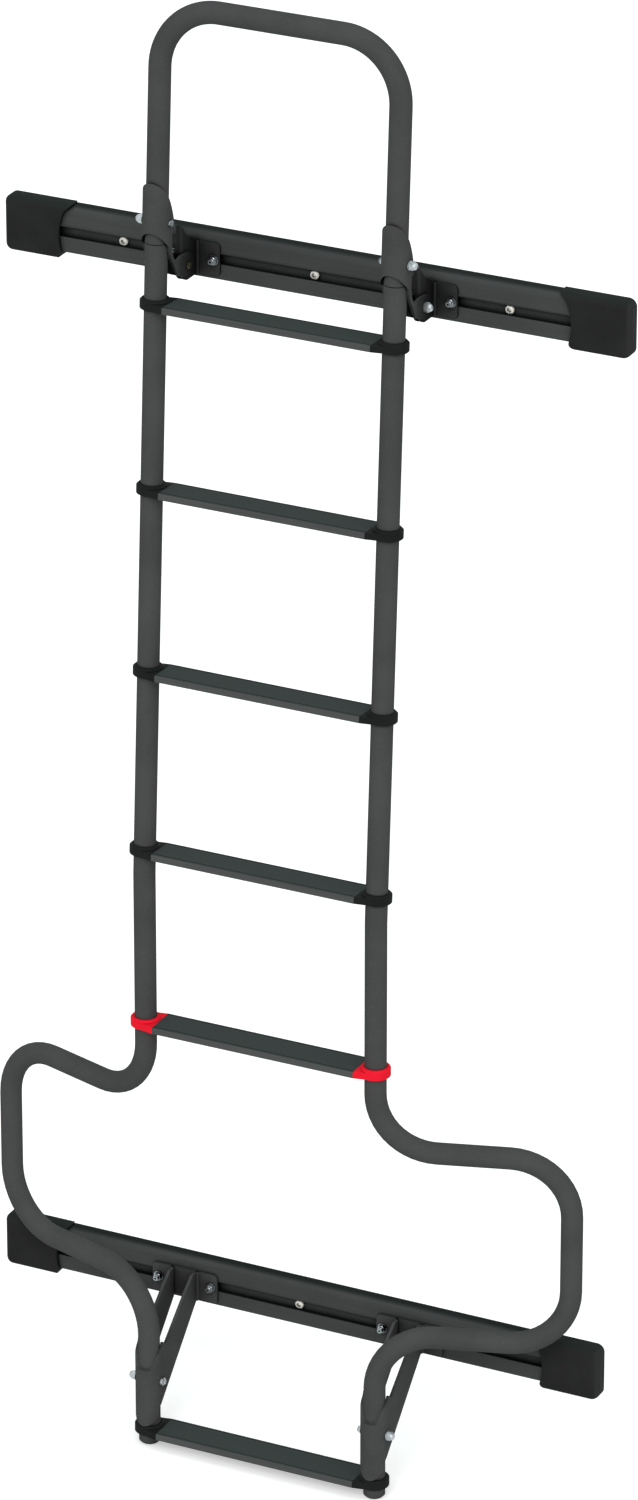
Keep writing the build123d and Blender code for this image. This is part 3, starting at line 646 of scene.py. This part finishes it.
stageLook = {
    "floorSize": 80.0, "floorGap": 0.0005,  # m; the floor lies just under the feet
    "floor": "#ececec", "mottle": "#eeeeee", "mottleScale": 3.0, "rough": 0.9,  # scale in patches to a metre
    "glow": 0.4, "ambient": 0.52,
}
lamps = {  # degrees from the front and above level, strength, softness in degrees, and tint
    "key_lamp": (12, 40, 1.2, 30, "#ffffff"),
    "side_lamp": (65, 45, 0.5, 40, "#ffffff"),
    "top_lamp": (0, 86, 0.5, 40, "#c4fdef"),
}
photoCamera = {"place": (4.3250, -8.7923, 3.7661), "azimuth": 26.192, "drop": 24.440, "lens": 193.82,
               "reach": 200}  # place and reach in m, angles in degrees, lens in mm


def seenDirectly(tree):  # 1 for a ray from the camera, off metal or through glass, and 0 for the light that falls
    path = node(tree, "ShaderNodeLightPath")
    seen = node(tree, "ShaderNodeMath", {0: path.outputs["Is Camera Ray"], 1: path.outputs["Is Glossy Ray"]},
                operation="ADD")
    return node(tree, "ShaderNodeMath", {0: seen.outputs[0], 1: path.outputs["Is Transmission Ray"]},
                operation="ADD", use_clamp=True).outputs[0]


def outward(azimuth, height):  # the way from the object to a lamp or to the camera
    turn, rise = math.radians(azimuth), math.radians(height)
    return Vector((math.sin(turn) * math.cos(rise), -math.cos(turn) * math.cos(rise), math.sin(rise)))


def makeFloor():
    half = stageLook["floorSize"] / 2
    low = cadBox[0][2] - stageLook["floorGap"]
    sheet = bpy.data.meshes.new("floor")
    sheet.from_pydata([(-half, -half, low), (half, -half, low), (half, half, low), (-half, half, low)], [],
                      [(0, 1, 2, 3)])
    floor = placed("floor", sheet)
    paper, tree, place = newFinish("pale_paper")  # studio paper: pale, flat, with a faint mottle
    mottle = node(tree, "ShaderNodeTexNoise", {"Vector": place, "Scale": stageLook["mottleScale"], "Detail": 2.0})
    tone = node(tree, "ShaderNodeMix", {0: mottle.outputs["Fac"], 6: linear(stageLook["floor"]),
                                        7: linear(stageLook["mottle"])}, data_type="RGBA")
    glow = node(tree, "ShaderNodeMath", {0: seenDirectly(tree), 1: stageLook["glow"]}, operation="MULTIPLY")
    card = node(tree, "ShaderNodeBsdfPrincipled", {
        "Base Color": tone.outputs[2], "Roughness": stageLook["rough"], "Specular IOR Level": 0.0,
        "Emission Color": linear("#ffffff"), "Emission Strength": glow.outputs[0]})
    node(tree, "ShaderNodeOutputMaterial", {"Surface": card.outputs[0]})
    sheet.materials.append(paper)


def makeLight():
    world = bpy.data.worlds.new("studio")
    world.use_nodes = True
    tree = world.node_tree
    tree.nodes.clear()
    level = node(tree, "ShaderNodeMapRange", {"Value": seenDirectly(tree), "To Min": stageLook["ambient"],
                                              "To Max": 1.0})
    sky = node(tree, "ShaderNodeBackground", {"Color": linear("#ffffff"), "Strength": level.outputs[0]})
    node(tree, "ShaderNodeOutputWorld", {"Surface": sky.outputs[0]})
    scene.world = world
    for name, (azimuth, height, strength, softness, tint) in lamps.items():
        lamp = bpy.data.lights.new(name, "SUN")
        lamp.energy = strength
        lamp.color = linear(tint)[:3]
        lamp.angle = math.radians(softness)
        hung = placed(name, lamp)
        hung.rotation_euler = outward(azimuth, height).to_track_quat("Z", "Y").to_euler()


def makeCamera():
    eye = bpy.data.cameras.new("photo_camera")
    eye.lens = photoCamera["lens"]  # on the 36 mm long side of the frame
    eye.clip_end = photoCamera["reach"]
    holder = placed("photo_camera", eye)
    holder.location = photoCamera["place"]
    back = outward(photoCamera["azimuth"], photoCamera["drop"])
    holder.rotation_euler = back.to_track_quat("Z", "Y").to_euler()
    scene.camera = holder


makeFloor()
makeLight()
makeCamera()
scene.view_settings.view_transform = "Standard"
print("floor, lamps and camera placed")
